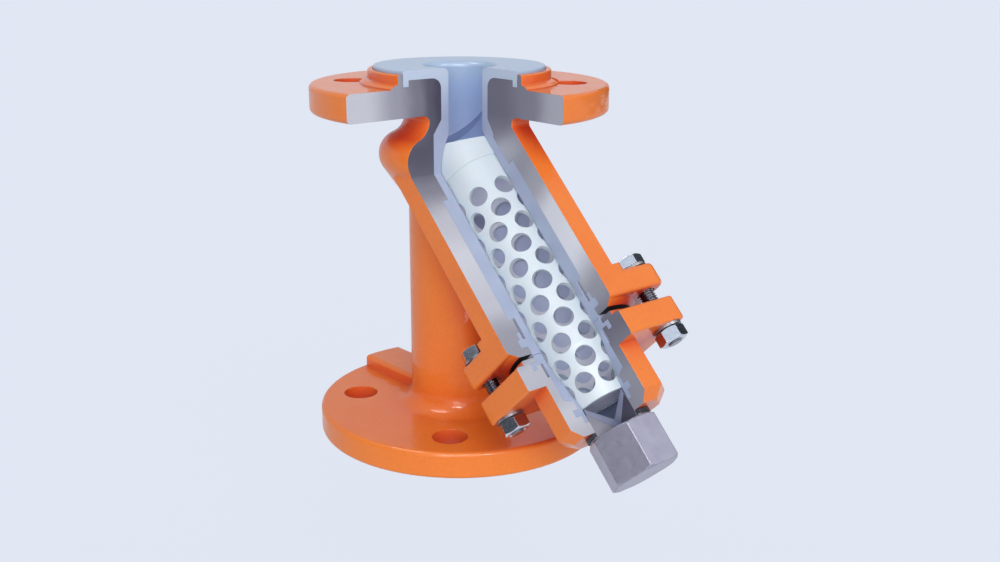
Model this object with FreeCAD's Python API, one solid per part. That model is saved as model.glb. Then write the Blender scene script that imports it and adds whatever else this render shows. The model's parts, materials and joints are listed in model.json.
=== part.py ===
import FreeCAD, Part
import math
import os

V = FreeCAD.Vector

# All lengths are millimetres. +Z is up the main pipe, +X is the side the branch leans to.

# Face to face and end flanges
FACE_TO_FACE = 200.0
FLANGE_R = 75.0
FLANGE_T = 13.8
FLANGE_RAISE = 8.6
FLANGE_EDGE_R = 2.2
BOLT_CIRCLE_R = 55.0
BOLT_HOLE_R = 9.0
HOLE_COUNT = 4

# Raised ring round each liner face
RING_IN_R = 43.4
RING_OUT_R = 46.0
RING_DROP = 1.7
STEP_HIGH = (48.3, 1.6)
STEP_LOW = (50.0, 0.5)
STEP_SLOPE = 0.8
RING_CHAMFER = 0.6

# Main pipe and neck of the casting
PIPE_R = 26.5
NECK_R = 28.0
FOOT_COVE = 9.0
NECK_COVE = 4.0

# Rounded bulb where the branch leaves the pipe, as heights from the branch origin
BULB_R = 41.3
BULB_TOP = 18.0
BULB_MIDDLE = -2.5
BULB_BOTTOM = -27.0

# Cast pad on the lower flange
PAD_HALF_W = 12.0
PAD_H = 6.0
PAD_END_X = 74.4
PAD_EDGE_R = 2.2

# Branch; its origin lies this far below the inlet face
BRANCH_DROP = 42.0
BRANCH_ANGLE = 45.0
TUBE_HALF = 38.4
TUBE_FLAT_HALF = 11.5
TUBE_START = 5.0
TUBE_NOSE = 11.0
TUBE_NOSE_HALF = 24.0
CREST_FILLET = 3.3

# Branch joint; along the branch everything is placed from its joint face
JOINT_FACE = 118.2
SEAL_GAP = 0.3
BODY_FLANGE_T = 12.4
BODY_BOSS_H = 2.4
BODY_BOSS_GAP = 0.8
BONNET_FLANGE_T = 12.6
BONNET_BOSS_H = 2.3
BONNET_BOSS_GAP = 1.2
BOSS_R = 33.0
BOSS_FOOT_R = 36.4
BODY_CORNER_R = 5.0
BODY_EDGE_R = 2.4
BONNET_INSET = 0.6
BONNET_CORNER_R = 3.0
BONNET_EDGE_R = 1.2
BONNET_BOSS_EDGE_R = 0.6
ROOT_FILLET = 3.0
HUB_L = 28.3
HUB_HALF = 27.0
HUB_FLAT_HALF = 11.6
HUB_END_HALF = 21.6
HUB_CHAMFER = 4.8

# Liner
LINER_BORE_R = 17.5
LINER_PIPE_R = 21.5
LINER_FACE_R = 43.1
LINER_FACE_T = 4.6
LINER_LEG_IN_R = 40.0
LINER_LEG_H = 3.1
LINER_ROOT_R = 5.0
LINER_MOUTH_R = 3.0
LINER_EDGE_R = 0.8
CHAMBER_R = 19.8
CHAMBER_BACK = 14.0
CHAMBER_END_T = 4.0
BELLY_R = 26.0
BELLY_UP = 10.0
BELLY_DOWN = 12.0
BELLY_CONE = 7.0
THIN_R = 24.2
THICK_R = 27.8
THICK_FROM = 29.0
THICK_END_GAP = 20.2
WAIST_R = 23.7
WAIST_GAP = 1.6
ANCHOR_R = 29.0
ANCHOR_T = 4.2
ANCHOR_GAP = 4.8
HOOK_IN_R = 25.4
HOOK_OUT_R = 27.4
HOOK_H = 3.8
LIP_R = 25.0
BONNET_ANCHOR_T = 4.0
BONNET_RIB_T = 1.6
BONNET_HOOK_STEP = 1.0
BONNET_SLOT_H = 9.0
BONNET_SKIN_R = 22.0
SKIN_END_GAP = 19.2
SKIN_TAPER = 1.8
SEAT_START = 5.8
SEAT_END_GAP = 12.0
SEAT_R = 14.75
TAIL_R = 17.0
LINER_END_GAP = 5.8
CROSS_R = 20.4
CROSS_T = 3.3
CROSS_END_GAP = 9.7

# Clearances
MOULD_FIT = 0.05
FACE_FIT = 0.1
SLIP = 0.3

# Basket
BASKET_R = 18.9
BASKET_IN_R = 16.4
BASKET_END_R = 14.4
BASKET_END_IN_R = 12.2
COLLAR_R = 19.4
COLLAR_END = 18.5
COLLAR_SEAT_R = 17.6
COLLAR_CHAMFER = (0.4, 0.6)
SLANT_AT = -2.0
SLANT = 0.5
HOLE_R = 4.85
FIRST_RING = 36.0
RING_PITCH = 10.5
RING_COUNT = 11
HOLES_PER_RING = 8
FIRST_HOLE_ANGLE = 11.25

# Drain plug
GASKET_R = 16.6
GASKET_T = 1.8
SHOULDER_R = 15.6
SHOULDER_T = 1.0
HEX_L = 23.7
HEX_ACROSS = 31.6
HEX_TURN = 90.0
HEX_CHAMFER = 1.1
SHANK_R = 14.42
SHANK_BORE_R = 14.5
SHANK_L = 9.1
CONE_L = 11.8
CONE_R = 14.0
CONE_RIM = 0.6
CONE_RIM_T = 2.4
CONE_WALL = 3.2
CONE_TIP = 2.6
STEM_R = 2.6
STEM_L = 3.9

# Joint bolts
BOLT_INSET = 8.2
BOLT_R = 4.0
BOLT_BORE_R = 4.6
BOLT_PAST_FLANGE = 8.9
BOLT_TIP_R = 0.7
HEAD_ACROSS = 13.0
HEAD_T = 5.3
NUT_T = 6.8
HEX_SMALL_CHAMFER = 0.9
HEX_SMALL_TURN = 15.0
WASHER_R = 7.3
WASHER_T = 1.3
WASHER_BORE_R = 4.2
THREAD_FIT = 0.08
SPOT_R = 8.2
SPOT_CLEAR = 12.0

# Quarter cut-away
CUT_X = 9.5
CUT_REACH = 400.0

# Extra length of a cutting tool past the face it cuts, and how close counts as the same place
PAST = 5.0
CLOSE = 0.01

# Heights up the main pipe
TOP_EDGE = FACE_TO_FACE - FLANGE_RAISE
TOP_UNDER = TOP_EDGE - FLANGE_T
FOOT_TOP = FLANGE_RAISE + FLANGE_T
BRANCH_Z = FACE_TO_FACE - BRANCH_DROP

# Distances down the branch
BODY_BOSS_FACE = JOINT_FACE - BODY_BOSS_GAP
BODY_FLANGE_FACE = BODY_BOSS_FACE - BODY_BOSS_H
BODY_FLANGE_TOP = BODY_FLANGE_FACE - BODY_FLANGE_T
BONNET_BOSS_FACE = JOINT_FACE + BONNET_BOSS_GAP
BONNET_FLANGE_FACE = BONNET_BOSS_FACE + BONNET_BOSS_H
BONNET_FLANGE_END = BONNET_FLANGE_FACE + BONNET_FLANGE_T
HUB_END = BONNET_FLANGE_END + HUB_L
HUB_CHAMFER_AT = HUB_END - HUB_CHAMFER
THICK_TO = JOINT_FACE - THICK_END_GAP
ANCHOR_TO = JOINT_FACE - ANCHOR_GAP
ANCHOR_FROM = ANCHOR_TO - ANCHOR_T
HOOK_FROM = ANCHOR_FROM - HOOK_H
SEAT_FROM = JOINT_FACE + SEAT_START
SEAT_TO = HUB_END - SEAT_END_GAP
SKIN_TO = HUB_END - SKIN_END_GAP
LINER_END = HUB_END - LINER_END_GAP
CROSS_TO = HUB_END - CROSS_END_GAP
CROSS_FROM = CROSS_TO - CROSS_T
BASKET_END = SEAT_TO - SLIP
BLANK_FROM = -2 * COLLAR_R
GASKET_FROM = HUB_END + SLIP
SHOULDER_FROM = GASKET_FROM + GASKET_T
HEX_FROM = SHOULDER_FROM + SHOULDER_T
HEX_END = HEX_FROM + HEX_L
SHANK_FROM = HUB_END - SHANK_L
CONE_FROM = HUB_END - CONE_L
CONE_APEX = HUB_END - CONE_TIP
STEM_END = HUB_END + STEM_L

# Half widths and places across the branch
BONNET_HALF = TUBE_HALF - BONNET_INSET
BOLT_OFFSET = TUBE_HALF - BOLT_INSET
BOLT_END = BONNET_FLANGE_END + BOLT_PAST_FLANGE
NUT_BORE_R = BOLT_R + THREAD_FIT
CORNERS = ((1, 1), (1, -1), (-1, 1), (-1, -1))

TILT = math.radians(BRANCH_ANGLE)

os.makedirs("parts", exist_ok=True)


# Branch frame: local X is up and out, local Y is towards the cut side, local Z runs down the branch
def branch_placement():
    c = math.cos(TILT)
    s = math.sin(TILT)
    m = FreeCAD.Matrix(
        c, 0, s, 0,
        0, -1, 0, 0,
        s, 0, -c, BRANCH_Z,
        0, 0, 0, 1)
    return FreeCAD.Placement(m)


BRANCH = branch_placement()


def on_branch(shape):
    placed = shape.copy()
    placed.Placement = BRANCH.multiply(placed.Placement)
    return placed


def cyl(r, z0, z1, x=0.0, y=0.0):
    return Part.makeCylinder(r, z1 - z0, V(x, y, z0), V(0, 0, 1))


def ring(r_in, r_out, z0, z1, x=0.0, y=0.0):
    return cyl(r_out, z0, z1, x, y).cut(cyl(r_in, z0 - PAST, z1 + PAST, x, y))


# Solid of revolution about local Z from (radius, height) points
def spin(points):
    corners = [V(r, 0, z) for r, z in points]
    corners.append(corners[0])
    face = Part.Face(Part.makePolygon(corners))
    return face.revolve(V(0, 0, 0), V(0, 0, 1), 360)


# Section of a concave blend between a wall at radius r and a face at height z, sunk into that face
def cove_face(r, z, size, way, sink):
    start = V(r + size, 0, z)
    end = V(r, 0, z + way * size)
    centre = V(r + size, 0, z + way * size)
    middle = centre + V(-size, 0, -way * size) * math.sqrt(0.5)
    foot = z - way * sink
    edges = [
        Part.Arc(start, middle, end).toShape(),
        Part.makeLine(end, V(0, 0, end.z)),
        Part.makeLine(V(0, 0, end.z), V(0, 0, foot)),
        Part.makeLine(V(0, 0, foot), V(start.x, 0, foot)),
        Part.makeLine(V(start.x, 0, foot), start),
    ]
    return Part.Face(Part.Wire(edges))


def cove(r, z, size, way):
    return cove_face(r, z, size, way, size / 2).revolve(V(0, 0, 0), V(0, 0, 1), 360)


def octagon_wire(half, flat, z):
    corners = []
    for sx, sy in ((1, 1), (-1, 1), (-1, -1), (1, -1)):
        pair = [V(sx * half, sy * flat, z), V(sx * flat, sy * half, z)]
        if sx != sy:
            pair.reverse()
        corners += pair
    corners.append(corners[0])
    return Part.makePolygon(corners)


def octagon(half0, flat0, z0, half1, flat1, z1):
    wires = [octagon_wire(half0, flat0, z0), octagon_wire(half1, flat1, z1)]
    return Part.makeLoft(wires, True, True)


def hex_prism(across, z0, z1, turn):
    r = across / math.sqrt(3)
    corners = []
    for i in range(7):
        a = math.radians(turn + 60 * i)
        corners.append(V(r * math.cos(a), r * math.sin(a), z0))
    return Part.Face(Part.makePolygon(corners)).extrude(V(0, 0, z1 - z0))


# Hexagon whose corners are turned off at one or both ends
def hex_head(across, z0, z1, turn, chamfer, low, high):
    corner = across / math.sqrt(3) + FACE_FIT
    flat = corner - chamfer * math.sqrt(3)
    points = [(0, z0)]
    points += [(flat, z0), (corner, z0 + chamfer)] if low else [(corner, z0)]
    points += [(corner, z1 - chamfer), (flat, z1)] if high else [(corner, z1)]
    points.append((0, z1))
    return hex_prism(across, z0, z1, turn).common(spin(points))


def fillet_where(shape, size, test):
    edges = [e for e in shape.Edges if test(e)]
    return shape.makeFillet(size, edges) if edges else shape


def on_circle(edge, r, z):
    if not isinstance(edge.Curve, Part.Circle):
        return False
    return abs(edge.Curve.Radius - r) < CLOSE and abs(edge.Curve.Center.z - z) < CLOSE


# Everything removed so that the inside can be seen
def quarter():
    low = BRANCH_Z - CUT_REACH
    outline = [
        V(CUT_X, 0, CUT_REACH),
        V(CUT_X, 0, BRANCH_Z - CUT_X),
        V(CUT_REACH, 0, low),
        V(2 * CUT_REACH, 0, low),
        V(2 * CUT_REACH, 0, CUT_REACH),
        V(CUT_X, 0, CUT_REACH),
    ]
    return Part.Face(Part.makePolygon(outline)).extrude(V(0, -CUT_REACH, 0))


QUARTER = quarter()


# One end flange with its stepped ring, built for the top end
def end_flange():
    def rim(edge):
        return on_circle(edge, FLANGE_R, TOP_EDGE) or on_circle(edge, FLANGE_R, TOP_UNDER)

    plate = fillet_where(cyl(FLANGE_R, TOP_UNDER, TOP_EDGE), FLANGE_EDGE_R, rim)
    crest = FACE_TO_FACE - RING_DROP
    step_r, step_h = STEP_HIGH
    low_r, low_h = STEP_LOW
    steps = spin([
        (0, TOP_UNDER),
        (low_r, TOP_UNDER),
        (low_r, TOP_EDGE + low_h),
        (step_r, TOP_EDGE + step_h),
        (RING_OUT_R, TOP_EDGE + step_h + STEP_SLOPE),
        (RING_OUT_R, crest - RING_CHAMFER),
        (RING_OUT_R - RING_CHAMFER, crest),
        (0, crest),
    ])
    body = plate.fuse(steps)
    for i in range(HOLE_COUNT):
        a = math.radians(360 / HOLE_COUNT * (i + 0.5))
        x = BOLT_CIRCLE_R * math.cos(a)
        y = BOLT_CIRCLE_R * math.sin(a)
        body = body.cut(cyl(BOLT_HOLE_R, TOP_UNDER - PAST, TOP_EDGE + PAST, x, y))
    return body


def to_bottom(shape):
    return shape.mirror(V(0, 0, FACE_TO_FACE / 2), V(0, 0, 1))


# Liner face disc with its anchor leg, built for the top end
def liner_face(grow):
    under = FACE_TO_FACE - LINER_FACE_T - grow
    out_r = LINER_FACE_R if grow == 0 else RING_IN_R
    top = FACE_TO_FACE if grow == 0 else FACE_TO_FACE + PAST
    disc = cyl(out_r, under, top)
    if grow == 0:
        disc = fillet_where(disc, LINER_EDGE_R, lambda e: on_circle(e, out_r, top))
    leg = ring(LINER_LEG_IN_R - grow, out_r, under - LINER_LEG_H, under + LINER_EDGE_R)
    root = cove(LINER_PIPE_R + grow, under, LINER_ROOT_R, -1)
    return disc.fuse([leg, root])


# Outside of the body liner; grow widens it into the pocket of the casting
def body_liner_outside(grow):
    pipe = cyl(LINER_PIPE_R + grow, LINER_FACE_T, FACE_TO_FACE - LINER_FACE_T)
    belly_low = BRANCH_Z - BELLY_DOWN
    belly_high = BRANCH_Z + BELLY_UP
    belly = spin([
        (0, belly_low - BELLY_CONE),
        (LINER_PIPE_R + grow, belly_low - BELLY_CONE),
        (BELLY_R + grow, belly_low),
        (BELLY_R + grow, belly_high),
        (LINER_PIPE_R + grow, belly_high + BELLY_CONE),
        (0, belly_high + BELLY_CONE),
    ])
    back = -CHAMBER_BACK - CHAMBER_END_T - grow
    lip_end = JOINT_FACE - SEAL_GAP / 2 if grow == 0 else JOINT_FACE + PAST
    waist = WAIST_R if grow == 0 else WAIST_R + WAIST_GAP
    arm = spin([
        (0, back),
        (THIN_R + grow, back),
        (THIN_R + grow, THICK_FROM - grow),
        (THICK_R + grow, THICK_FROM - grow),
        (THICK_R + grow, THICK_TO + grow),
        (waist, THICK_TO + grow),
        (waist, ANCHOR_FROM - grow),
        (HOOK_IN_R - grow, ANCHOR_FROM - grow),
        (HOOK_IN_R - grow, HOOK_FROM - grow),
        (HOOK_OUT_R + grow, HOOK_FROM - grow),
        (HOOK_OUT_R + grow, ANCHOR_FROM - grow),
        (ANCHOR_R + grow, ANCHOR_FROM - grow),
        (ANCHOR_R + grow, ANCHOR_TO + grow),
        (LIP_R + grow, ANCHOR_TO + grow),
        (LIP_R + grow, lip_end),
        (0, lip_end),
    ])
    top = liner_face(grow)
    return pipe.fuse([belly, on_branch(arm), top, to_bottom(top)])


def body_liner():
    solid = body_liner_outside(0)
    bore = cyl(LINER_BORE_R, -PAST, FACE_TO_FACE + PAST)
    mouth = cove(LINER_BORE_R, FACE_TO_FACE, LINER_MOUTH_R, -1)
    chamber = on_branch(cyl(CHAMBER_R, -CHAMBER_BACK, JOINT_FACE + PAST))
    for hole in (bore, mouth, chamber):
        solid = solid.cut(hole)
    return solid.cut(QUARTER)


# Web that rounds the sharp corner between the top flange and the branch crest below it
def crest_web():
    gap = math.pi / 2 - TILT
    run = CREST_FILLET / math.tan(gap / 2)
    corner = V(TUBE_HALF / math.cos(TILT) - (TOP_UNDER - BRANCH_Z) * math.tan(TILT), 0, TOP_UNDER)
    start = corner + V(run, 0, 0)
    end = corner + V(math.sin(TILT), 0, -math.cos(TILT)) * run
    centre = start - V(0, 0, CREST_FILLET)
    middle = centre + (corner - centre).normalize() * CREST_FILLET
    inner = corner - V(CREST_FILLET, 0, 0)
    lift = V(0, 0, FLANGE_T / 2)
    edges = [
        Part.Arc(start, middle, end).toShape(),
        Part.makeLine(end, inner),
        Part.makeLine(inner, inner + lift),
        Part.makeLine(inner + lift, start + lift),
        Part.makeLine(start + lift, start),
    ]
    face = Part.Face(Part.Wire(edges))
    face.translate(V(0, -TUBE_FLAT_HALF, 0))
    return face.extrude(V(0, 2 * TUBE_FLAT_HALF, 0))


def foot_pad():
    low = FOOT_TOP - FLANGE_T / 2
    top = FOOT_TOP + PAD_H
    box = Part.makeBox(PAD_END_X, 2 * PAD_HALF_W, top - low, V(-PAD_END_X, -PAD_HALF_W, low))
    box = box.common(cyl(PAD_END_X, low, top))

    def outer(edge):
        b = edge.BoundBox
        return b.ZMax > top - CLOSE and b.XMin < -PAD_HALF_W

    return fillet_where(box, PAD_EDGE_R, outer)


# Square flange with rounded corners and rounded outer edges
def square_flange(half, z0, z1, corner_r, edge_r):
    plate = Part.makeBox(2 * half, 2 * half, z1 - z0, V(-half, -half, z0))
    plate = fillet_where(plate, corner_r, lambda e: e.BoundBox.ZLength > (z1 - z0) / 2)
    return fillet_where(plate, edge_r, lambda e: e.BoundBox.ZLength < (z1 - z0) / 2)


# Blends between the four slanted faces of the arm and its square flange
def root_webs():
    wall = (TUBE_HALF + TUBE_FLAT_HALF) * math.sqrt(0.5)
    face = cove_face(wall, BODY_FLANGE_TOP, ROOT_FILLET, -1, BODY_EDGE_R)
    face.translate(V(0, -TUBE_HALF, 0))
    web = face.extrude(V(0, 2 * TUBE_HALF, 0))
    size = 2 * TUBE_HALF
    square = Part.makeBox(size, size, size, V(-TUBE_HALF, -TUBE_HALF, BODY_FLANGE_TOP - TUBE_HALF))
    webs = []
    for i in range(4):
        turned = web.copy()
        turned.rotate(V(0, 0, 0), V(0, 0, 1), 90 * i + 45)
        webs.append(turned.common(square))
    return webs


# Tapered eight-sided arm of the casting with its square flange
def branch_arm():
    low = TUBE_START - TUBE_NOSE
    nose = octagon(TUBE_NOSE_HALF, TUBE_FLAT_HALF, low, TUBE_HALF, TUBE_FLAT_HALF, TUBE_START)
    inside_plate = BODY_FLANGE_TOP + BODY_FLANGE_T / 2
    tube = octagon(TUBE_HALF, TUBE_FLAT_HALF, TUBE_START, TUBE_HALF, TUBE_FLAT_HALF, inside_plate)
    plate = square_flange(TUBE_HALF, BODY_FLANGE_TOP, BODY_FLANGE_FACE, BODY_CORNER_R, BODY_EDGE_R)
    boss = spin([
        (0, inside_plate),
        (BOSS_FOOT_R, inside_plate),
        (BOSS_FOOT_R, BODY_FLANGE_FACE),
        (BOSS_R, BODY_BOSS_FACE),
        (0, BODY_BOSS_FACE),
    ])
    arm = tube.fuse([nose, plate, boss] + root_webs())
    for sx, sy in CORNERS:
        x = sx * BOLT_OFFSET
        y = sy * BOLT_OFFSET
        arm = arm.cut(cyl(SPOT_R, BODY_FLANGE_TOP - SPOT_CLEAR, BODY_FLANGE_TOP, x, y))
        arm = arm.cut(cyl(BOLT_BORE_R, BODY_FLANGE_TOP - PAST, BODY_BOSS_FACE + PAST, x, y))
    return on_branch(arm)


# Point where a line from (r, z) touches the circle about (rc, zc) on its outer side
def touch(r, z, rc, zc, size):
    far = math.hypot(r - rc, z - zc)
    turn = math.atan2(z - zc, r - rc) + math.acos(size / far)
    return V(rc + size * math.cos(turn), 0, zc + size * math.sin(turn))


# Bulb on the pipe: a hollow and a round of one radius above, a cone down to the pipe below
def bulb():
    top = BRANCH_Z + BULB_TOP
    middle = BRANCH_Z + BULB_MIDDLE
    bottom = BRANCH_Z + BULB_BOTTOM
    out = BULB_R - NECK_R
    rise = top - middle
    size = (out * out + rise * rise) / (4 * out)
    turn = math.asin(rise / 2 / size) / 2
    round_at = V(BULB_R - size, 0, middle)
    hollow_at = V(NECK_R + size, 0, top)
    bend = (round_at + hollow_at) * 0.5
    foot = touch(PIPE_R, bottom, round_at.x, round_at.z, size)
    lean = V(math.cos(turn), 0, math.sin(turn)) * size
    edges = [
        Part.makeLine(V(0, 0, bottom), V(PIPE_R, 0, bottom)),
        Part.makeLine(V(PIPE_R, 0, bottom), foot),
        Part.Arc(foot, round_at + lean, bend).toShape(),
        Part.Arc(bend, hollow_at - lean, V(NECK_R, 0, top)).toShape(),
        Part.makeLine(V(NECK_R, 0, top), V(0, 0, top)),
        Part.makeLine(V(0, 0, top), V(0, 0, bottom)),
    ]
    return Part.Face(Part.Wire(edges)).revolve(V(0, 0, 0), V(0, 0, 1), 360)


def body_casting():
    pipe = cyl(PIPE_R, FLANGE_RAISE + FLANGE_T / 2, BRANCH_Z)
    top = end_flange()
    pieces = [
        cyl(NECK_R, BRANCH_Z, TOP_EDGE - FLANGE_T / 2),
        bulb(),
        branch_arm(),
        crest_web(),
        cove(PIPE_R, FOOT_TOP, FOOT_COVE, 1),
        cove(NECK_R, TOP_UNDER, NECK_COVE, -1),
        foot_pad(),
        top,
        to_bottom(top),
    ]
    solid = pipe.fuse(pieces)
    solid = solid.cut(body_liner_outside(MOULD_FIT))
    return solid.cut(QUARTER).removeSplitter()


# Outside of the bonnet liner; grow widens it into the pocket of the bonnet
def bonnet_liner_outside(grow):
    start = JOINT_FACE + SEAL_GAP / 2 if grow == 0 else JOINT_FACE - PAST
    slot = BONNET_SKIN_R if grow == 0 else BONNET_SKIN_R + WAIST_GAP
    anchor_end = BONNET_FLANGE_FACE + BONNET_ANCHOR_T + grow
    rib_end = BONNET_FLANGE_FACE + BONNET_RIB_T + grow
    slot_end = BONNET_FLANGE_FACE + BONNET_SLOT_H
    hook_r = HOOK_OUT_R - BONNET_HOOK_STEP
    return spin([
        (0, start),
        (LIP_R + grow, start),
        (LIP_R + grow, BONNET_FLANGE_FACE - grow),
        (ANCHOR_R + grow, BONNET_FLANGE_FACE - grow),
        (ANCHOR_R + grow, anchor_end),
        (hook_r, anchor_end),
        (hook_r, rib_end),
        (slot, rib_end),
        (slot, slot_end),
        (BONNET_SKIN_R + grow, slot_end),
        (BONNET_SKIN_R + grow, SKIN_TO + grow),
        (TAIL_R + grow, SKIN_TO + SKIN_TAPER + grow),
        (TAIL_R + grow, CROSS_FROM - grow),
        (CROSS_R + grow, CROSS_FROM - grow),
        (CROSS_R + grow, CROSS_TO + grow),
        (TAIL_R + grow, CROSS_TO + grow),
        (TAIL_R + grow, LINER_END + grow),
        (0, LINER_END + grow),
    ])


def bonnet_liner():
    hollow = spin([
        (0, JOINT_FACE - PAST),
        (CHAMBER_R, JOINT_FACE - PAST),
        (CHAMBER_R, SEAT_FROM),
        (SEAT_R, SEAT_TO),
        (SEAT_R, LINER_END + PAST),
        (0, LINER_END + PAST),
    ])
    return on_branch(bonnet_liner_outside(0).cut(hollow)).cut(QUARTER)


def bonnet_casting():
    plate = square_flange(BONNET_HALF, BONNET_FLANGE_FACE, BONNET_FLANGE_END, BONNET_CORNER_R, BONNET_EDGE_R)
    inside_plate = BONNET_FLANGE_FACE + BONNET_FLANGE_T / 2
    boss = cyl(BOSS_R, BONNET_BOSS_FACE, inside_plate)
    boss = fillet_where(boss, BONNET_BOSS_EDGE_R, lambda e: on_circle(e, BOSS_R, BONNET_BOSS_FACE))
    hub = octagon(HUB_HALF, HUB_FLAT_HALF, inside_plate, HUB_HALF, HUB_FLAT_HALF, HUB_CHAMFER_AT)
    end_flat = HUB_FLAT_HALF * HUB_END_HALF / HUB_HALF
    nose = octagon(HUB_HALF, HUB_FLAT_HALF, HUB_CHAMFER_AT, HUB_END_HALF, end_flat, HUB_END)
    solid = plate.fuse([boss, hub, nose]).removeSplitter()
    solid = solid.cut(bonnet_liner_outside(MOULD_FIT))
    solid = solid.cut(cyl(SHANK_BORE_R, LINER_END - PAST, HUB_END + PAST))
    for sx, sy in CORNERS:
        x = sx * BOLT_OFFSET
        y = sy * BOLT_OFFSET
        solid = solid.cut(cyl(BOLT_BORE_R, BONNET_BOSS_FACE - PAST, BONNET_FLANGE_END + PAST, x, y))
    return on_branch(solid).cut(QUARTER)


# Everything beyond the slanted inlet end of the basket
def above_slant():
    reach = BASKET_END
    outline = [
        V(-reach, 0, SLANT_AT - SLANT * reach),
        V(reach, 0, SLANT_AT + SLANT * reach),
        V(reach, 0, -reach),
        V(-reach, 0, -reach),
        V(-reach, 0, SLANT_AT - SLANT * reach),
    ]
    face = Part.Face(Part.makePolygon(outline))
    face.translate(V(0, -reach, 0))
    return face.extrude(V(0, 2 * reach, 0))


def strainer_basket():
    tube = spin([
        (BASKET_IN_R, BLANK_FROM),
        (COLLAR_SEAT_R, BLANK_FROM),
        (COLLAR_SEAT_R, COLLAR_END),
        (BASKET_R, COLLAR_END),
        (BASKET_R, SEAT_FROM),
        (BASKET_END_R, BASKET_END),
        (BASKET_END_IN_R, BASKET_END),
        (BASKET_IN_R, SEAT_FROM),
    ])
    tube = tube.cut(above_slant())
    pitch = 360.0 / HOLES_PER_RING
    drills = []
    for i in range(RING_COUNT):
        turn = FIRST_HOLE_ANGLE + (i % 2) * pitch / 2
        for j in range(HOLES_PER_RING):
            a = math.radians(turn + j * pitch)
            out = V(math.cos(a), math.sin(a), 0)
            foot = out * (BASKET_END_IN_R / 2) + V(0, 0, FIRST_RING + i * RING_PITCH)
            drills.append(Part.makeCylinder(HOLE_R, BASKET_R, foot, out))
    return on_branch(tube.cut(drills))


def basket_collar():
    bore = COLLAR_SEAT_R + MOULD_FIT
    end = COLLAR_END - MOULD_FIT
    inset, back = COLLAR_CHAMFER
    collar = spin([
        (bore, BLANK_FROM),
        (COLLAR_R, BLANK_FROM),
        (COLLAR_R, end - back),
        (COLLAR_R - inset, end),
        (bore, end),
    ])
    return on_branch(collar.cut(above_slant()))


# Outside of the drain cone, also used as the pocket in the plug
def cone_outside(grow):
    return spin([
        (0, CONE_FROM - 2 * grow),
        (CONE_R + grow, CONE_FROM - 2 * grow),
        (CONE_R + grow, CONE_FROM + CONE_RIM_T + grow),
        (STEM_R + grow, CONE_APEX + CONE_WALL + grow),
        (STEM_R + grow, STEM_END + grow),
        (0, STEM_END + grow),
    ])


def drain_cone():
    hollow = spin([
        (0, CONE_FROM - PAST),
        (CONE_R - CONE_RIM, CONE_FROM - PAST),
        (CONE_R - CONE_RIM, CONE_FROM),
        (0, CONE_APEX),
    ])
    return on_branch(cone_outside(0).cut(hollow)).cut(QUARTER)


def drain_plug():
    neck = cyl(SHANK_R, SHANK_FROM, HEX_FROM + PAST)
    shoulder = cyl(SHOULDER_R, SHOULDER_FROM, HEX_FROM + PAST)
    head = hex_head(HEX_ACROSS, HEX_FROM, HEX_END, HEX_TURN, HEX_CHAMFER, True, True)
    turned = on_branch(neck.fuse(shoulder)).cut(QUARTER)
    pocket = on_branch(cone_outside(MOULD_FIT))
    return turned.fuse(on_branch(head)).cut(pocket).removeSplitter()


def plug_gasket():
    end = GASKET_FROM + GASKET_T - FACE_FIT
    return on_branch(ring(SHANK_R + SLIP, GASKET_R, GASKET_FROM, end)).cut(QUARTER)


def bolt_sites():
    return {
        "left": (-BOLT_OFFSET, BOLT_OFFSET),
        "right": (BOLT_OFFSET, -BOLT_OFFSET),
        "rear": (-BOLT_OFFSET, -BOLT_OFFSET),
    }


def bolt():
    under = BODY_FLANGE_TOP - WASHER_T - FACE_FIT
    head = hex_head(HEAD_ACROSS, under - HEAD_T, under, HEX_SMALL_TURN, HEX_SMALL_CHAMFER, True, False)
    shank = cyl(BOLT_R, under - HEAD_T / 2, BOLT_END)
    shank = fillet_where(shank, BOLT_TIP_R, lambda e: on_circle(e, BOLT_R, BOLT_END))
    return head.fuse(shank)


def washer(z0):
    return ring(WASHER_BORE_R, WASHER_R, z0, z0 + WASHER_T)


def nut():
    z0 = BONNET_FLANGE_END + WASHER_T + FACE_FIT
    body = hex_head(HEAD_ACROSS, z0, z0 + NUT_T, HEX_SMALL_TURN, HEX_SMALL_CHAMFER, True, True)
    return body.cut(cyl(NUT_BORE_R, z0 - PAST, z0 + NUT_T + PAST))


def save(name, shape):
    if len(shape.Solids) == 1:
        shape = shape.Solids[0]
    shape.exportStep("parts/" + name + ".step")
    print(name, len(shape.Solids), shape.isValid(), round(shape.Volume))


save("body_casting", body_casting())
save("body_liner", body_liner())
save("bonnet_casting", bonnet_casting())
save("bonnet_liner", bonnet_liner())
save("strainer_basket", strainer_basket())
save("basket_collar", basket_collar())
save("drain_cone", drain_cone())
save("drain_plug", drain_plug())
save("plug_gasket", plug_gasket())
for side, (px, py) in bolt_sites().items():
    corner_turn = 90 if px * py > 0 else 0
    pieces = {
        "bolt_": bolt(),
        "head_washer_": washer(BODY_FLANGE_TOP - WASHER_T - MOULD_FIT),
        "nut_": nut(),
        "nut_washer_": washer(BONNET_FLANGE_END + MOULD_FIT),
    }
    for stem, piece in pieces.items():
        piece.rotate(V(0, 0, 0), V(0, 0, 1), corner_turn)
        piece.translate(V(px, py, 0))
        save(stem + side, on_branch(piece))
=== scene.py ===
import json
import math

import bmesh
import bpy
from mathutils import Matrix, Vector


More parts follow.
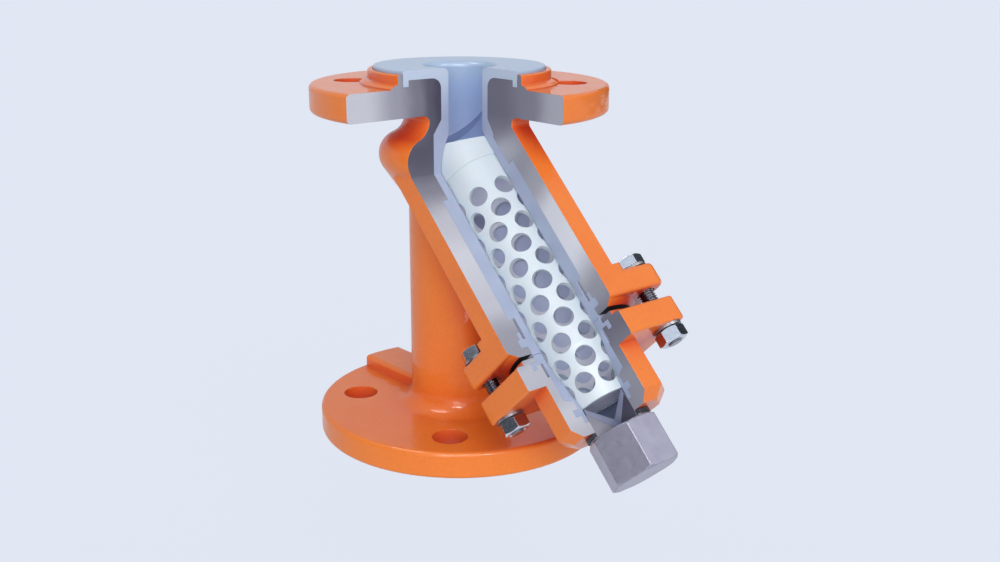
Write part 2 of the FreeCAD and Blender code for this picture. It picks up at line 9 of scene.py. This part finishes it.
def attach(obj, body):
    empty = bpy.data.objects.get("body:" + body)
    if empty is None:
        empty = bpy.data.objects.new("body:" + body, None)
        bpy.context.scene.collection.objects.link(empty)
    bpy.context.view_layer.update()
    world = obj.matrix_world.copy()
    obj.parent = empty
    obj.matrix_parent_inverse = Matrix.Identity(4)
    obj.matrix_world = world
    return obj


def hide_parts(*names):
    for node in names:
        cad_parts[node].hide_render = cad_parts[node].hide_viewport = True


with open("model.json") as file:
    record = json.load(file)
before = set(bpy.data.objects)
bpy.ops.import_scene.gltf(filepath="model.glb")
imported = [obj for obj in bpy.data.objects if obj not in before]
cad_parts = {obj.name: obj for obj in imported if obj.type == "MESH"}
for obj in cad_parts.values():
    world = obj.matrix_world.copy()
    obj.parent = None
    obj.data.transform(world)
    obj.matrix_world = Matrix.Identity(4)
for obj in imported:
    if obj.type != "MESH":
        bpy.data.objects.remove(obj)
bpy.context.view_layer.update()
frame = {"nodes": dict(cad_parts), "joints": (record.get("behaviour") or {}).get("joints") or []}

nodes = frame["nodes"]
joints = {joint["name"]: joint for joint in frame["joints"]}

MM = 0.001

# The photograph's camera, fitted to the two end flanges and the branch
CAMERA_AT = (0.44993, -0.36608, 0.25581)
CAMERA_HEADING = math.radians(48.815)
CAMERA_PITCH = math.radians(16.226)
CAMERA_ROLL = math.radians(0.273)
CAMERA_LENS = 41.187
SENSOR = 36.0

BACKDROP = (228, 234, 246)
FLOOR_Z = -0.11
FLOOR_WIDTH = 60.0

# The quarter that is cut away ends on the vertical plane of the branch, on a plane through the
# branch axis, and above the crossing on a vertical plane at this distance from the main axis
CUT_X = 9.5 * MM

# Branch frame: x up and out, y towards the cut side, z down the branch from the crossing
DOWN = Vector(joints["bonnet_slide"]["axis"]).normalized()
SIDE = Vector((0, -1, 0))
UP_OUT = SIDE.cross(DOWN)
PLUG_AT = Vector(joints["plug_turn"]["pos_m"])
CROSSING = PLUG_AT - DOWN * (PLUG_AT.x / DOWN.x)
BRANCH = Matrix.Translation(CROSSING) @ Matrix((UP_OUT, SIDE, DOWN)).transposed().to_4x4()
TO_BRANCH = BRANCH.inverted()


def far_end(node):
    """How far down the branch a node reaches, in millimetres."""
    return max((TO_BRANCH @ vertex.co).z / MM for vertex in nodes[node].data.vertices)


BASKET_END = far_end("strainer_basket")
HUB_END = far_end("bonnet_casting")
GASKET_END = far_end("plug_gasket")
FACE_TO_FACE = 200.0


def linear(value):
    share = value / 255
    return share / 12.92 if share <= 0.04045 else ((share + 0.055) / 1.055) ** 2.4


def colour(red, green, blue):
    return (linear(red), linear(green), linear(blue), 1.0)


# Node helpers
def new_material(name):
    made = bpy.data.materials.new(name)
    made.use_nodes = True
    tree = made.node_tree
    return made, tree, tree.nodes["Principled BSDF"]


def add(tree, kind, inputs=None, **settings):
    made = tree.nodes.new("ShaderNode" + kind)
    for name, value in settings.items():
        setattr(made, name, value)
    for name, value in (inputs or {}).items():
        if isinstance(value, bpy.types.NodeSocket):
            tree.links.new(value, made.inputs[name])
        else:
            made.inputs[name].default_value = value
    return made


def place(tree):
    return add(tree, "TexCoord").outputs["Object"]


def calculate(tree, operation, *values):
    return add(tree, "Math", dict(enumerate(values)), operation=operation).outputs[0]


def dot(tree, first, second):
    made = add(tree, "VectorMath", {0: first, 1: second}, operation="DOT_PRODUCT")
    return made.outputs["Value"]


def along(tree, point, direction, origin=(0, 0, 0)):
    """Distance in millimetres of point from origin along a direction."""
    shifted = add(tree, "VectorMath", {0: point, 1: origin}, operation="SUBTRACT").outputs[0]
    return dot(tree, shifted, tuple(c / MM for c in direction))


def remap(tree, value, low=0.0, high=1.0, start=0.0, end=1.0):
    """Value moved from the range start to end into the range low to high."""
    limits = {"Value": value, "From Min": start, "From Max": end, "To Min": low, "To Max": high}
    return add(tree, "MapRange", limits).outputs[0]


def ramp(tree, factor, stops, low, high):
    """Colour ramp over low to high, whose stops are (value, colour) pairs."""
    spread = remap(tree, factor, start=low, end=high)
    made = add(tree, "ValToRGB", {"Fac": spread})
    made.color_ramp.interpolation = "EASE"
    elements = made.color_ramp.elements
    while len(elements) < len(stops):
        elements.new(0.5)
    for element, (value, tint) in zip(elements, stops):
        element.position = (value - low) / (high - low)
        element.color = tint
    return made.outputs["Color"]


def mix(tree, factor, first, second, blend="MIX"):
    made = add(tree, "Mix", data_type="RGBA", blend_type=blend)
    for index, value in ((0, factor), (6, first), (7, second)):
        if isinstance(value, bpy.types.NodeSocket):
            tree.links.new(value, made.inputs[index])
        else:
            made.inputs[index].default_value = value
    return made.outputs[2]


def noise(tree, point, size, detail=3.0, roughness=0.5):
    """Noise whose cells are about size millimetres across."""
    inputs = {"Vector": point, "Scale": 1 / (size * MM), "Detail": detail, "Roughness": roughness}
    return add(tree, "TexNoise", inputs).outputs["Fac"]


def bump(tree, height, strength, depth, normal=None):
    inputs = {"Height": height, "Strength": strength, "Distance": depth * MM}
    if normal is not None:
        inputs["Normal"] = normal
    return add(tree, "Bump", inputs).outputs["Normal"]


def soft_edge(tree, radius):
    """Normals that round off sharp edges by a radius in millimetres."""
    return add(tree, "Bevel", {"Radius": radius * MM}, samples=6).outputs["Normal"]


def feed(tree, shader, **values):
    for name, value in values.items():
        socket = shader.inputs[name.replace("_", " ")]
        if isinstance(value, bpy.types.NodeSocket):
            tree.links.new(value, socket)
        else:
            socket.default_value = value


# Materials, with lengths and heights in millimetres

# Faint light inside the body, where no lamp reaches. The lining's is full up to the first
# height and gone from the second.
GLOW = colour(206, 202, 216)
GLOW_FULL, GLOW_GONE = 125.0, 142.0

# Heights between which the painted sheen of a cut face turns from the branch's to the flange's
TURN_FROM, TURN_TO = 162.0, 178.0

# How far the painted sheen of a cut face wanders
DRIFT = 12.0

# How far before the basket's open end its shade starts, and is full
SHADE_FROM, SHADE_FULL = 14, 3


def orange_paint(name, tint, dark, painted_light):
    """Thick gloss paint on a rough casting, with painted shade of a deeper red in its hollows."""
    made, tree, shader = new_material(name)
    point = place(tree)
    patches = noise(tree, point, 26, 2)
    base = mix(tree, patches, dark, tint)
    fleck = remap(tree, noise(tree, point, 1.3, 4, 0.7), 0.88, 1.12)
    base = mix(tree, 1.0, base, fleck, "MULTIPLY")
    # Painted shade: where ambient occlusion finds a hollow, the paint turns to the deep red colour
    hollow = add(tree, "AmbientOcclusion", {"Distance": 22 * MM}, samples=6).outputs["AO"]
    shade = remap(tree, hollow, start=0.25, end=0.9)
    base = mix(tree, shade, painted_light, base)
    skin = bump(tree, noise(tree, point, 2.4, 3), 0.2, 0.25, soft_edge(tree, 0.85))
    wave = bump(tree, noise(tree, point, 11, 2), 0.34, 1.2, skin)
    gloss = remap(tree, noise(tree, point, 5, 3), 0.34, 0.5)
    feed(tree, shader, Base_Color=base, Roughness=gloss, Normal=wave, Coat_Normal=wave)
    feed(tree, shader, Coat_Weight=0.42, Coat_Roughness=0.06, Specular_IOR_Level=0.15)
    return made


def grey(value):
    """Grey of the painted sections, violet where dark and nearly neutral where light."""
    share = (value - 60) / 170
    return colour(value, value - 3 + 4 * share, value + 14 - 8 * share)


def painted_sheen_along(tree, point, direction, origin, stops):
    """Painted sheen, light and shade, from (millimetres, grey) stops along a direction, with a slow
    drift.
    """
    distance = along(tree, point, direction, origin)
    wander = calculate(tree, "SUBTRACT", noise(tree, point, 24, 2), 0.5)
    moved = calculate(tree, "MULTIPLY_ADD", wander, DRIFT, distance)
    tints = [(value, grey(level)) for value, level in stops]
    return ramp(tree, moved, tints, stops[0][0] - 10, stops[-1][0] + 10)


def cut_iron(name, branch_stops, top_stops=None, across=None):
    """Painted section, with a painted sheen down the branch and, above it, across the flange."""
    made, tree, shader = new_material(name)
    point = place(tree)
    painted_sheen = painted_sheen_along(tree, point, DOWN, CROSSING, branch_stops)
    if top_stops:
        height = along(tree, point, (0, 0, 1))
        share = remap(tree, height, start=TURN_FROM, end=TURN_TO)
        painted_top_sheen = painted_sheen_along(tree, point, across, (0, 0, 0), top_stops)
        painted_sheen = mix(tree, share, painted_sheen, painted_top_sheen)
    grain = noise(tree, point, 0.7, 4, 0.7)
    speck = remap(tree, grain, 0.9, 1.1)
    base = mix(tree, 1.0, painted_sheen, speck, "MULTIPLY")
    skin = bump(tree, grain, 0.12, 0.05, soft_edge(tree, 0.25))
    feed(tree, shader, Base_Color=base, Roughness=0.55, Normal=skin, Specular_IOR_Level=0.3)
    return made


def iron_pocket():
    made, tree, shader = new_material("iron_pocket")
    point = place(tree)
    base = mix(tree, noise(tree, point, 3), colour(66, 64, 80), colour(112, 110, 130))
    skin = bump(tree, noise(tree, point, 0.8, 4), 0.3, 0.1)
    feed(tree, shader, Base_Color=base, Roughness=0.6, Normal=skin, Metallic=0.3)
    return made


# Black for the faces at the flange joint, as painted shade in the gap between the bosses
def painted_joint_shade():
    made, tree, shader = new_material("painted_joint_shade")
    point = place(tree)
    base = mix(tree, noise(tree, point, 1.5), colour(14, 12, 18), colour(36, 30, 40))
    feed(tree, shader, Base_Color=base, Roughness=0.55)
    return made


def liner(name, stops, rough, glow=0.0):
    """Lining lit and shaded by painted (height, colour) stops, with a faint painted glow deep in the
    body.
    """
    made, tree, shader = new_material(name)
    point = place(tree)
    height = along(tree, point, (0, 0, 1))
    base = ramp(tree, height, stops, 0, FACE_TO_FACE)
    cloud = noise(tree, point, 14, 3)
    painted_light_and_cloud = mix(tree, remap(tree, cloud, 0.0, 0.35), base, colour(196, 206, 228))
    skin = bump(tree, noise(tree, point, 1.1, 3), 0.08, 0.06, soft_edge(tree, 0.3))
    painted_light = remap(tree, height, glow, 0.0, GLOW_FULL, GLOW_GONE)
    feed(tree, shader, Base_Color=painted_light_and_cloud, Roughness=rough, Normal=skin)
    feed(tree, shader, Subsurface_Weight=0.15, Subsurface_Scale=0.003)
    feed(tree, shader, Emission_Color=GLOW, Emission_Strength=painted_light)
    return made


def basket_white():
    made, tree, shader = new_material("basket_white")
    point = place(tree)
    base = mix(tree, noise(tree, point, 18, 2), colour(205, 217, 223), colour(218, 227, 231))
    skin = bump(tree, noise(tree, point, 1.6, 3), 0.06, 0.08, soft_edge(tree, 0.35))
    feed(tree, shader, Base_Color=base, Roughness=0.42, Normal=skin)
    feed(tree, shader, Subsurface_Weight=0.2, Subsurface_Scale=0.002)
    return made


def basket_inside():
    """Inner wall of the basket, in shade at its open lower end."""
    made, tree, shader = new_material("basket_inside")
    point = place(tree)
    base = mix(tree, noise(tree, point, 5, 3), colour(226, 227, 238), colour(238, 239, 247))
    height = along(tree, point, DOWN, CROSSING)
    shade = remap(tree, height, start=BASKET_END - SHADE_FROM, end=BASKET_END - SHADE_FULL)
    base = mix(tree, shade, base, colour(116, 119, 142))
    skin = bump(tree, noise(tree, point, 0.8, 4), 0.2, 0.08)
    feed(tree, shader, Base_Color=base, Roughness=0.6, Normal=skin)
    # A faint painted glow, as on the lining
    feed(tree, shader, Emission_Color=GLOW, Emission_Strength=0.05)
    return made


def plug_steel():
    made, tree, shader = new_material("plug_steel_satin")
    point = place(tree)
    base = mix(tree, noise(tree, point, 9, 4), colour(148, 145, 163), colour(180, 178, 191))
    grain = noise(tree, point, 0.45, 4, 0.7)
    skin = bump(tree, grain, 0.2, 0.05, soft_edge(tree, 0.7))
    gloss = remap(tree, noise(tree, point, 3, 3), 0.3, 0.44)
    feed(tree, shader, Base_Color=base, Roughness=gloss, Normal=skin, Metallic=0.8)
    return made


def zinc(name, dull, bright):
    made, tree, shader = new_material(name)
    point = place(tree)
    base = mix(tree, noise(tree, point, 2, 3), dull, bright)
    skin = bump(tree, noise(tree, point, 0.5, 3), 0.12, 0.04, soft_edge(tree, 0.22))
    gloss = remap(tree, noise(tree, point, 1.2, 3), 0.12, 0.26)
    feed(tree, shader, Base_Color=base, Roughness=gloss, Normal=skin, Metallic=1.0)
    return made


def washer_steel():
    made, tree, shader = new_material("washer_steel")
    point = place(tree)
    base = mix(tree, noise(tree, point, 1.6, 3), colour(120, 118, 124), colour(176, 172, 172))
    feed(tree, shader, Base_Color=base, Roughness=0.35, Metallic=0.9)
    return made


def gasket_black():
    made, tree, shader = new_material("gasket_black")
    point = place(tree)
    base = mix(tree, noise(tree, point, 1.2, 3), colour(30, 32, 42), colour(58, 62, 76))
    skin = bump(tree, noise(tree, point, 0.5, 3), 0.2, 0.05)
    feed(tree, shader, Base_Color=base, Roughness=0.5, Normal=skin)
    return made


# The third colour is painted shade for the paint's hollows
PAINT = orange_paint("orange_enamel", colour(243, 134, 49), colour(237, 119, 43), colour(208, 56, 40))
# Each cut plane has a copy of its own, whose stops are a painted sheen of light and shade
IRON_LEFT = cut_iron("cut_iron_left", [
    (6, 82), (21, 127), (42, 188), (62, 204), (88, 190), (108, 150), (117, 148), (125, 184),
    (140, 178), (152, 196), (163, 180)])
IRON_RIGHT = cut_iron("cut_iron_right", [
    (10, 140), (21, 174), (35, 153), (48, 167), (63, 220), (83, 228), (106, 156), (125, 112),
    (150, 150)], [(31, 112), (52, 131), (69, 172)], Vector((1, 0, 0)))
IRON_TOP = cut_iron("cut_iron_top", [(6, 82), (21, 120)],
                    [(20, 68), (26, 84), (34, 117), (47, 152), (64, 196)], SIDE)
# The plug's left cut is painted lighter and its right darker: painted light and shade
PLUG_CUT_LEFT = cut_iron("cut_plug_left", [(148, 128), (156, 144), (166, 156)])
PLUG_CUT_RIGHT = cut_iron("cut_plug_right", [(148, 72), (156, 76), (166, 86)])
POCKET = iron_pocket()
BLACK = painted_joint_shade()
# The height stops of the lining's cut and skin are painted light and shade down the body
LINER_CUT = liner("liner_cut", [
    (0, colour(166, 178, 202)), (60, colour(152, 164, 192)), (120, colour(164, 176, 200)),
    (175, colour(154, 162, 188)), (198, colour(190, 204, 220))], 0.45)
LINER_SKIN = liner("liner_skin", [
    (0, colour(190, 200, 226)), (130, colour(184, 194, 224)), (160, colour(172, 190, 230)),
    (185, colour(152, 176, 216)), (200, colour(164, 188, 212))], 0.3, 0.09)
BASKET = basket_white()
BASKET_IN = basket_inside()
CONE_BLUE = colour(40, 58, 96)
CONE_GREY = colour(122, 126, 152)
CONE = liner("cone_skin", [(0, CONE_BLUE), (FACE_TO_FACE, CONE_BLUE)], 0.3)
CONE_CUT = liner("cone_cut", [(0, CONE_GREY), (FACE_TO_FACE, CONE_GREY)], 0.45)
PLUG = plug_steel()
ZINC = zinc("bright_zinc_plate", colour(190, 197, 208), colour(216, 222, 230))
# The thread is darker than the plated heads
DARK_THREAD = zinc("dark_thread", colour(108, 107, 116), colour(152, 150, 156))
WASHER = washer_steel()
RUBBER = gasket_black()


def dress(node, choose):
    """Gives each face of a CAD node the material that choose() picks from its centre and normal,
    in the branch frame and then in the model's own, both in millimetres."""
    mesh = nodes[node].data
    turn = TO_BRANCH.to_3x3()
    worn = []
    picked = []
    for face in mesh.polygons:
        centre = (TO_BRANCH @ face.center) / MM
        material = choose(centre, turn @ face.normal, face.center / MM, face.normal)
        if material not in worn:
            worn.append(material)
        picked.append(worn.index(material))
    mesh.materials.clear()
    for material in worn:
        mesh.materials.append(material)
    mesh.polygons.foreach_set("material_index", picked)


# How square a face stands to a direction, and how near to a plane it lies
FLAT = 0.999
NEAR = 0.02

# Radius of the liner's pockets, and the painted face that looks down the branch inside it
POCKET_R = 29.5
PLATE_END = 134.3
PLATE_NEAR = 0.3

# How far past its gasket a face of the plug still belongs to its cut shank
PLUG_NEAR = 0.5

# The sealing faces at the body's branch flange, coloured black as painted shade for the gap between
# the bosses, and the radius inside which the upright pipe's casting faces its liner
JOINT_R = 33.5
JOINT_FROM, JOINT_TO = 117, 120
PIPE_INSIDE_R = 27


def cut_face(centre, normal, spot, facing):
    """Which cut plane a face lies on: left, right, top or none."""
    if abs(centre.x) < NEAR and normal.x > FLAT and spot.y < 0:
        return "left"
    if abs(spot.y) < NEAR and facing.y < -FLAT:
        return "right"
    if abs(spot.x - CUT_X / MM) < NEAR and facing.x > FLAT:
        return "top"
    return None


def outwardness(centre, normal):
    """1 on a face that looks straight away from the branch axis, -1 on one that looks at it."""
    return normal.xy.dot(centre.xy) / max(centre.xy.length, 1e-6)


def casting_face(centre, normal, spot, facing):
    plane = cut_face(centre, normal, spot, facing)
    if plane:
        return {"left": IRON_LEFT, "right": IRON_RIGHT, "top": IRON_TOP}[plane]
    reach = centre.xy.length
    outward = outwardness(centre, normal)
    if abs(normal.z) > FLAT and reach < JOINT_R and JOINT_FROM < centre.z < JOINT_TO:
        return BLACK
    if centre.z > 0 and reach < POCKET_R and outward < -0.3:
        return POCKET
    across = abs(normal.z) > FLAT and abs(centre.z - PLATE_END) > PLATE_NEAR
    if across and 0 < centre.z < HUB_END - 1 and reach < POCKET_R:
        return POCKET
    if math.hypot(spot.x, spot.y) < PIPE_INSIDE_R and facing.x * spot.x + facing.y * spot.y < 0:
        return POCKET
    return PAINT


def liner_face(centre, normal, spot, facing):
    return LINER_CUT if cut_face(centre, normal, spot, facing) else LINER_SKIN


def cone_face(centre, normal, spot, facing):
    return CONE_CUT if cut_face(centre, normal, spot, facing) else CONE


def plug_face(centre, normal, spot, facing):
    plane = cut_face(centre, normal, spot, facing)
    if plane and centre.z < GASKET_END + PLUG_NEAR:
        return PLUG_CUT_LEFT if plane == "left" else PLUG_CUT_RIGHT
    return PLUG


def basket_face(centre, normal, spot, facing):
    return BASKET_IN if outwardness(centre, normal) < -0.5 else BASKET


dress("body_casting", casting_face)
dress("bonnet_casting", casting_face)
dress("body_liner", liner_face)
dress("bonnet_liner", liner_face)
dress("strainer_basket", basket_face)
dress("basket_collar", basket_face)
dress("drain_cone", cone_face)
dress("drain_plug", plug_face)
dress("plug_gasket", lambda *face: RUBBER)


# Threaded bolts and their nuts, built down the branch about their own axis, in millimetres
THREAD_PITCH = 1.25
THREAD_DEPTH = 0.7
BOLT_R = 4.0
NUT_BORE_R = 4.08
HEX_ACROSS = 13.0
HEX_CHAMFER = 0.9
HEX_FACE_R = HEX_ACROSS / math.sqrt(3) - HEX_CHAMFER * math.sqrt(3)
HEX_SIDES = 72
THREAD_SIDES = 28
# Places in the profile, as shares of the pitch and of the depth
THREAD_FORM = ((0.0, 0.0), (0.12, 0.0), (0.5, 1.0), (0.62, 1.0))
THREAD_LEAD_IN = 0.7
THREAD_POINT = 0.2
WASHER_FACE = 0.3
WASHER_FACE_R = HEX_ACROSS / 2 - 0.5
BOLT_OVERLAP = 0.5
NUT_SINK = 0.6


def hexagon(turn, z, chamfer=0.0):
    """Hexagon at height z, whose corners rise (1) or drop (-1) by a 30 degree chamfer."""
    points = []
    for step in range(HEX_SIDES):
        angle = 2 * math.pi * step / HEX_SIDES
        off = (angle + math.pi / 6) % (math.pi / 3) - math.pi / 6
        reach = HEX_ACROSS / 2 / math.cos(math.pi / 6 - abs(off))
        rise = chamfer * (reach - HEX_FACE_R) / math.sqrt(3)
        points.append((reach * math.cos(turn + angle), reach * math.sin(turn + angle), z + rise))
    return points


def circle(radius, z, turn):
    angles = [turn + 2 * math.pi * step / HEX_SIDES for step in range(HEX_SIDES)]
    return [(radius * math.cos(angle), radius * math.sin(angle), z) for angle in angles]


def loft(mesh, rings, ring_shaped=False):
    """Faces between rings; the ends are capped, or joined to each other in a ring-shaped piece."""
    rows = [[mesh.verts.new(point) for point in ring] for ring in rings]
    if ring_shaped:
        rows.append(rows[0])
    else:
        mesh.faces.new(rows[0][::-1])
        mesh.faces.new(rows[-1])
    for lower, upper in zip(rows, rows[1:]):
        for index in range(len(lower)):
            after = (index + 1) % len(lower)
            mesh.faces.new((lower[index], lower[after], upper[after], upper[index]))


def thread(mesh, low, high):
    """Screw thread from low to high, whose last turn is chamfered."""
    steps = len(THREAD_FORM)
    turns = int((high - low) / THREAD_PITCH) + 3
    rows = []
    for row in range(turns * steps):
        share, depth = THREAD_FORM[row % steps]
        ring = []
        for step in range(THREAD_SIDES):
            around = step / THREAD_SIDES
            z = low + THREAD_PITCH * (row // steps - 1 + share + around - THREAD_LEAD_IN)
            radius = BOLT_R - THREAD_DEPTH * (depth if low < z < high else 1.0)
            z = min(max(z, low), high)
            radius = min(radius, BOLT_R - THREAD_DEPTH - THREAD_POINT + high - z)
            angle = 2 * math.pi * around
            ring.append(mesh.verts.new((radius * math.cos(angle), radius * math.sin(angle), z)))
        rows.append(ring)
    mesh.faces.new(rows[0][::-1])
    mesh.faces.new(rows[-1])
    for row in range(len(rows) - 1):
        for step in range(THREAD_SIDES):
            after = step + 1
            jump = 0
            if after == THREAD_SIDES:
                after, jump = 0, steps
            if row + 1 + jump < len(rows):
                mesh.faces.new((rows[row][step], rows[row + jump][after],
                                rows[row + 1 + jump][after], rows[row + 1][step]))
    bmesh.ops.remove_doubles(mesh, verts=mesh.verts, dist=0.001)


def put(name, data, matrix=None):
    """Object of that data in the scene."""
    made = bpy.data.objects.new(name, data)
    if matrix is not None:
        made.matrix_world = matrix
    bpy.context.scene.collection.objects.link(made)
    return made


def fastener(name, node, body, make, spin):
    """Piece that stands for a CAD bolt or nut, on the same axis and at the same height."""
    points = [TO_BRANCH @ vertex.co / MM for vertex in nodes[node].data.vertices]
    spread = [[point[axis] for point in points] for axis in range(3)]
    middle = Vector([(min(values) + max(values)) / 2 for values in spread])
    middle.z = 0
    far = max(points, key=lambda point: (point - middle).xy.length)
    turn = math.atan2(far.y - middle.y, far.x - middle.x)
    wide = [point.z for point in points if (point - middle).xy.length > HEX_ACROSS * 0.4]
    built = bmesh.new()
    make(built, turn + spin, min(wide), max(wide), max(spread[2]))
    stand = BRANCH @ Matrix.Scale(MM, 4) @ Matrix.Translation(middle)
    bmesh.ops.transform(built, matrix=stand, verts=built.verts)
    bmesh.ops.recalc_face_normals(built, faces=built.faces)
    mesh = bpy.data.meshes.new(name)
    built.to_mesh(mesh)
    built.free()
    mesh.shade_smooth()
    mesh.set_sharp_from_angle(angle=math.radians(28))
    mesh.materials.append(ZINC)
    mesh.materials.append(DARK_THREAD)
    piece = put(name, mesh)
    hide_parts(node)
    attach(piece, body)


def bolt_shape(mesh, turn, low, high, tip):
    """Hexagon head with a round face under it, and the thread."""
    edge = high - WASHER_FACE
    loft(mesh, [circle(HEX_FACE_R, low, turn), hexagon(turn, low, 1.0), hexagon(turn, edge),
                circle(WASHER_FACE_R, edge, turn), circle(WASHER_FACE_R, high, turn)])
    head = len(mesh.faces)
    thread(mesh, high - BOLT_OVERLAP, tip)
    mesh.faces.ensure_lookup_table()
    for face in mesh.faces[head:]:
        face.material_index = 1


def nut_shape(mesh, turn, low, high, tip):
    """Hexagon nut, chamfered on both sides, with a countersunk bore."""
    sink = NUT_BORE_R + NUT_SINK
    rings = [circle(NUT_BORE_R, low + NUT_SINK, turn), circle(sink, low, turn),
             circle(HEX_FACE_R, low, turn), hexagon(turn, low, 1.0),
             hexagon(turn, high, -1.0), circle(HEX_FACE_R, high, turn),
             circle(sink, high, turn), circle(NUT_BORE_R, high - NUT_SINK, turn)]
    loft(mesh, rings, ring_shaped=True)


# Side and how far its hexagons are turned from the CAD ones, in degrees
for side, spin in (("left", 12), ("right", 0), ("rear", 10)):
    fastener("threaded_bolt_" + side, "bolt_" + side, "body", bolt_shape, math.radians(spin))
    fastener("hex_nut_" + side, "nut_" + side, "nut_" + side, nut_shape, math.radians(spin))
    dress("head_washer_" + side, lambda *face: WASHER)
    dress("nut_washer_" + side, lambda *face: WASHER)


# Camera
def aim(heading, pitch, roll):
    level = math.cos(pitch)
    forward = Vector((-level * math.sin(heading), level * math.cos(heading), -math.sin(pitch)))
    right = forward.cross(Vector((0, 0, 1))).normalized()
    up = right.cross(forward)
    level_view = Matrix((right, up, -forward)).transposed()
    return (level_view @ Matrix.Rotation(roll, 3, "Z")).to_4x4()


camera_data = bpy.data.cameras.new("camera")
camera_data.lens = CAMERA_LENS
camera_data.sensor_width = SENSOR
camera_data.clip_start = 0.01
camera_data.clip_end = 100
upright = aim(CAMERA_HEADING, CAMERA_PITCH, CAMERA_ROLL)
camera = put("camera", camera_data, Matrix.Translation(CAMERA_AT) @ upright)
bpy.context.scene.camera = camera


# Light
def look_at(at, target):
    direction = Vector(target) - Vector(at)
    return Matrix.Translation(at) @ direction.to_track_quat("-Z", "Y").to_matrix().to_4x4()


def sun(name, at, strength, spread):
    data = bpy.data.lights.new(name, "SUN")
    data.energy = strength
    data.angle = math.radians(spread)
    put(name, data, look_at(at, SUN_TARGET))


def panel(name, at, size, power):
    """Soft box that only shows as a reflection."""
    data = bpy.data.lights.new(name, "AREA")
    data.shape = "RECTANGLE"
    data.size, data.size_y = size
    data.energy = power
    lamp = put(name, data, look_at(at, MIDDLE))
    lamp.visible_diffuse = False
    return lamp


def rectangle(name, size, height=0.0):
    """Level rectangle about the z axis."""
    mesh = bpy.data.meshes.new(name)
    x, y = size[0] / 2, size[1] / 2
    corners = [(-x, -y, height), (x, -y, height), (x, y, height), (-x, y, height)]
    mesh.from_pydata(corners, [], [(0, 1, 2, 3)])
    return mesh


def flag(name, at, size):
    """Dark card that is seen only as a reflection, as beside the set in a studio."""
    mesh = rectangle(name, size)
    made, tree, shader = new_material(name + "_felt")
    base = mix(tree, noise(tree, place(tree), 60), colour(20, 20, 24), colour(40, 40, 46))
    feed(tree, shader, Base_Color=base, Roughness=0.9)
    mesh.materials.append(made)
    card = put(name, mesh, look_at(at, MIDDLE))
    card.visible_camera = False
    card.visible_diffuse = False
    card.visible_transmission = False
    card.visible_shadow = False


MIDDLE = (0.03, 0, 0.1)
SUN_TARGET = (0, 0, 0.1)
sun("key_sun", (0.9, -0.42, 0.72), 1.15, 40)
sun("front_sun", (0.62, -0.73, 0.28), 0.62, 20)
panel("top_box", (-0.2, -0.5, 1.1), (0.5, 0.25), 4)
panel("right_box", (0.9, 0.3, 0.8), (0.3, 0.6), 5)
glint = panel("glint_box", (0.75, -0.55, 0.75), (0.8, 0.06), 8)
# The glint falls on the paint, the linings and the basket alone, so that it doesn't burn out
# the plated flats
lit = bpy.data.collections.new("glint_receivers")
for node in ("body_casting", "bonnet_casting", "body_liner", "bonnet_liner",
             "strainer_basket", "basket_collar"):
    lit.objects.link(nodes[node])
glint.light_linking.receiver_collection = lit
flag("far_flag", (0.0, 1.3, 0.35), (1.6, 0.7))
flag("near_flag", (-0.3, -1.3, 0.3), (1.4, 0.7))


# The room is brighter on the camera's right and above
WORLD_SIDE = Vector((0.7, 0.4, 0.6))
WORLD_DIM = 0.3
WORLD_BRIGHT = 0.75


def any_ray(tree, first, *others):
    """1 for rays of any of the kinds named, else 0."""
    path = add(tree, "LightPath").outputs
    seen = path[first]
    for kind in others:
        seen = calculate(tree, "MAXIMUM", seen, path[kind])
    return seen


def backdrop_world():
    world = bpy.data.worlds.new("studio")
    world.use_nodes = True
    bpy.context.scene.world = world
    tree = world.node_tree
    tree.nodes.clear()
    seen = any_ray(tree, "Is Camera Ray", "Is Glossy Ray", "Is Transmission Ray")
    ray = add(tree, "TexCoord").outputs["Generated"]
    side = dot(tree, ray, WORLD_SIDE.normalized())
    level = remap(tree, side, WORLD_DIM, WORLD_BRIGHT, -1.0)
    soft = add(tree, "Background", {"Color": colour(240, 242, 250), "Strength": level}).outputs[0]
    shown = add(tree, "Background", {"Color": colour(*BACKDROP), "Strength": 1.0}).outputs[0]
    joined = add(tree, "MixShader", {0: seen, 1: soft, 2: shown}).outputs[0]
    output = add(tree, "OutputWorld")
    tree.links.new(joined, output.inputs["Surface"])


backdrop_world()


def floor():
    mesh = rectangle("floor", (FLOOR_WIDTH, FLOOR_WIDTH), FLOOR_Z)
    made, tree, shader = new_material("floor_paper")
    feed(tree, shader, Base_Color=colour(214, 219, 230), Roughness=0.9)
    glow = add(tree, "Emission", {"Color": colour(*BACKDROP), "Strength": 1.0}).outputs[0]
    seen = any_ray(tree, "Is Camera Ray", "Is Glossy Ray")
    share = calculate(tree, "MULTIPLY", seen, 0.9)
    joined = add(tree, "MixShader", {0: share, 1: shader.outputs[0], 2: glow}).outputs[0]
    tree.links.new(joined, tree.nodes["Material Output"].inputs["Surface"])
    mesh.materials.append(made)
    made_floor = put("floor", mesh)


floor()

bpy.context.scene.view_settings.view_transform = "Standard"
